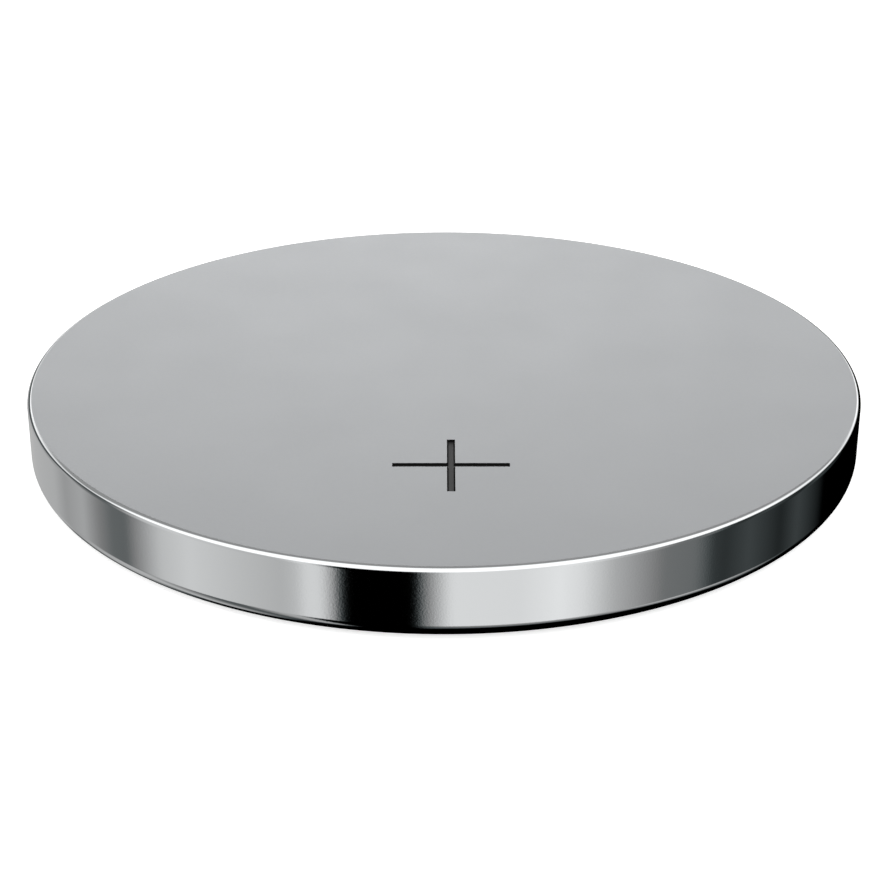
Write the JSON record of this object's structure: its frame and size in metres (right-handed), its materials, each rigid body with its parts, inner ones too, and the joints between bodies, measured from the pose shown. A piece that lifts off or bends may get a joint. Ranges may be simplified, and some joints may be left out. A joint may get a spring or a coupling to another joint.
{
  "type": "lithium coin cell",
  "caption": "Flat round lithium battery cell: crimped steel can over a gasket and cap, with its electrode discs inside.",
  "frame": {"origin": "centre of the cap's flat outer face, on which the cell stands", "axes": "+Z along the cell's axis, from the cap (negative) to the can's flat face (positive); any X"},
  "size_m": [0.023, 0.023, 0.002],
  "materials": {
    "can_steel": "nickel-plated stainless steel, satin face and drawn wall",
    "cap_steel": "nickel-plated stainless steel, satin",
    "gasket_plastic": "moulded polypropylene, dark",
    "screen_steel": "stainless steel screen, as woven",
    "cathode_mix": "pressed manganese dioxide and carbon, matt black",
    "separator_fleece": "polypropylene fleece, white",
    "lithium": "soft lithium foil, dull silver"
  },
  "bodies": {
    "root": {"positive_can": "can_steel", "negative_cap": "cap_steel", "sealing_gasket": "gasket_plastic", "cathode_collector": "screen_steel", "cathode_pellet": "cathode_mix", "separator": "separator_fleece", "lithium_anode": "lithium"}
  },
  "joints": []
}
